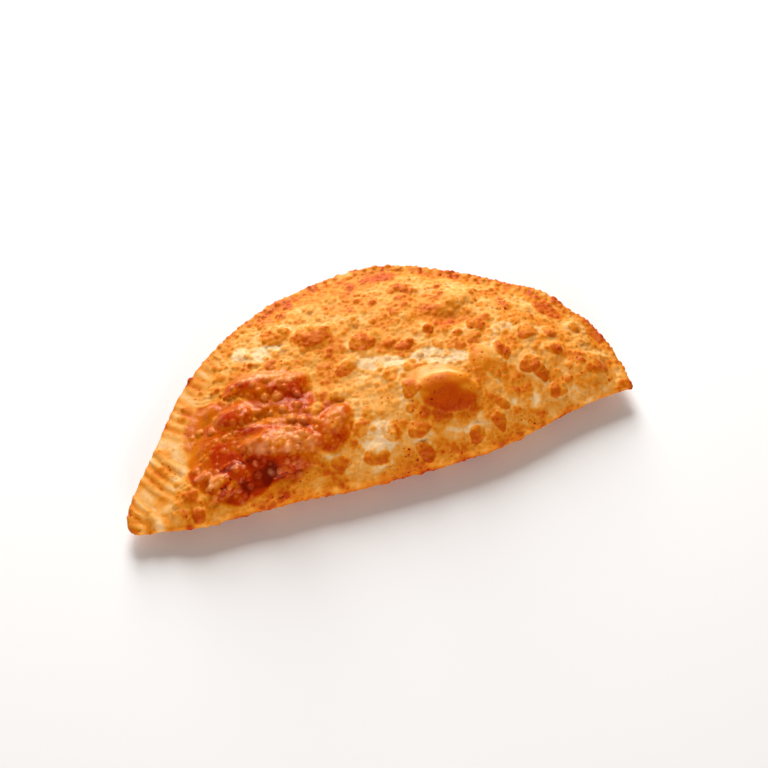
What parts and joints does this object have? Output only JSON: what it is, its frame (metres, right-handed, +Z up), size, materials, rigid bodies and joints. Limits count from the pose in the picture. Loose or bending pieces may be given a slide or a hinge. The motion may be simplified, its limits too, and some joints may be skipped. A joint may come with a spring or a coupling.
{
  "type": "cheburek",
  "caption": "Half-moon turnover of thin dough folded over a filling, fork-crimped along its arc and deep-fried to a blistered, bubbly crust.",
  "frame": {"origin": "on the surface that it rests on, under the middle of its outer box", "axes": "+X along the fold from the slender tip to the blunt tip, +Y from the fold towards the crimped arc, +Z up"},
  "size_m": [0.2188, 0.1074, 0.029],
  "materials": {
    "fried_dough": "satin"
  },
  "bodies": {
    "root": {"cheburek": "fried_dough"}
  },
  "joints": []
}
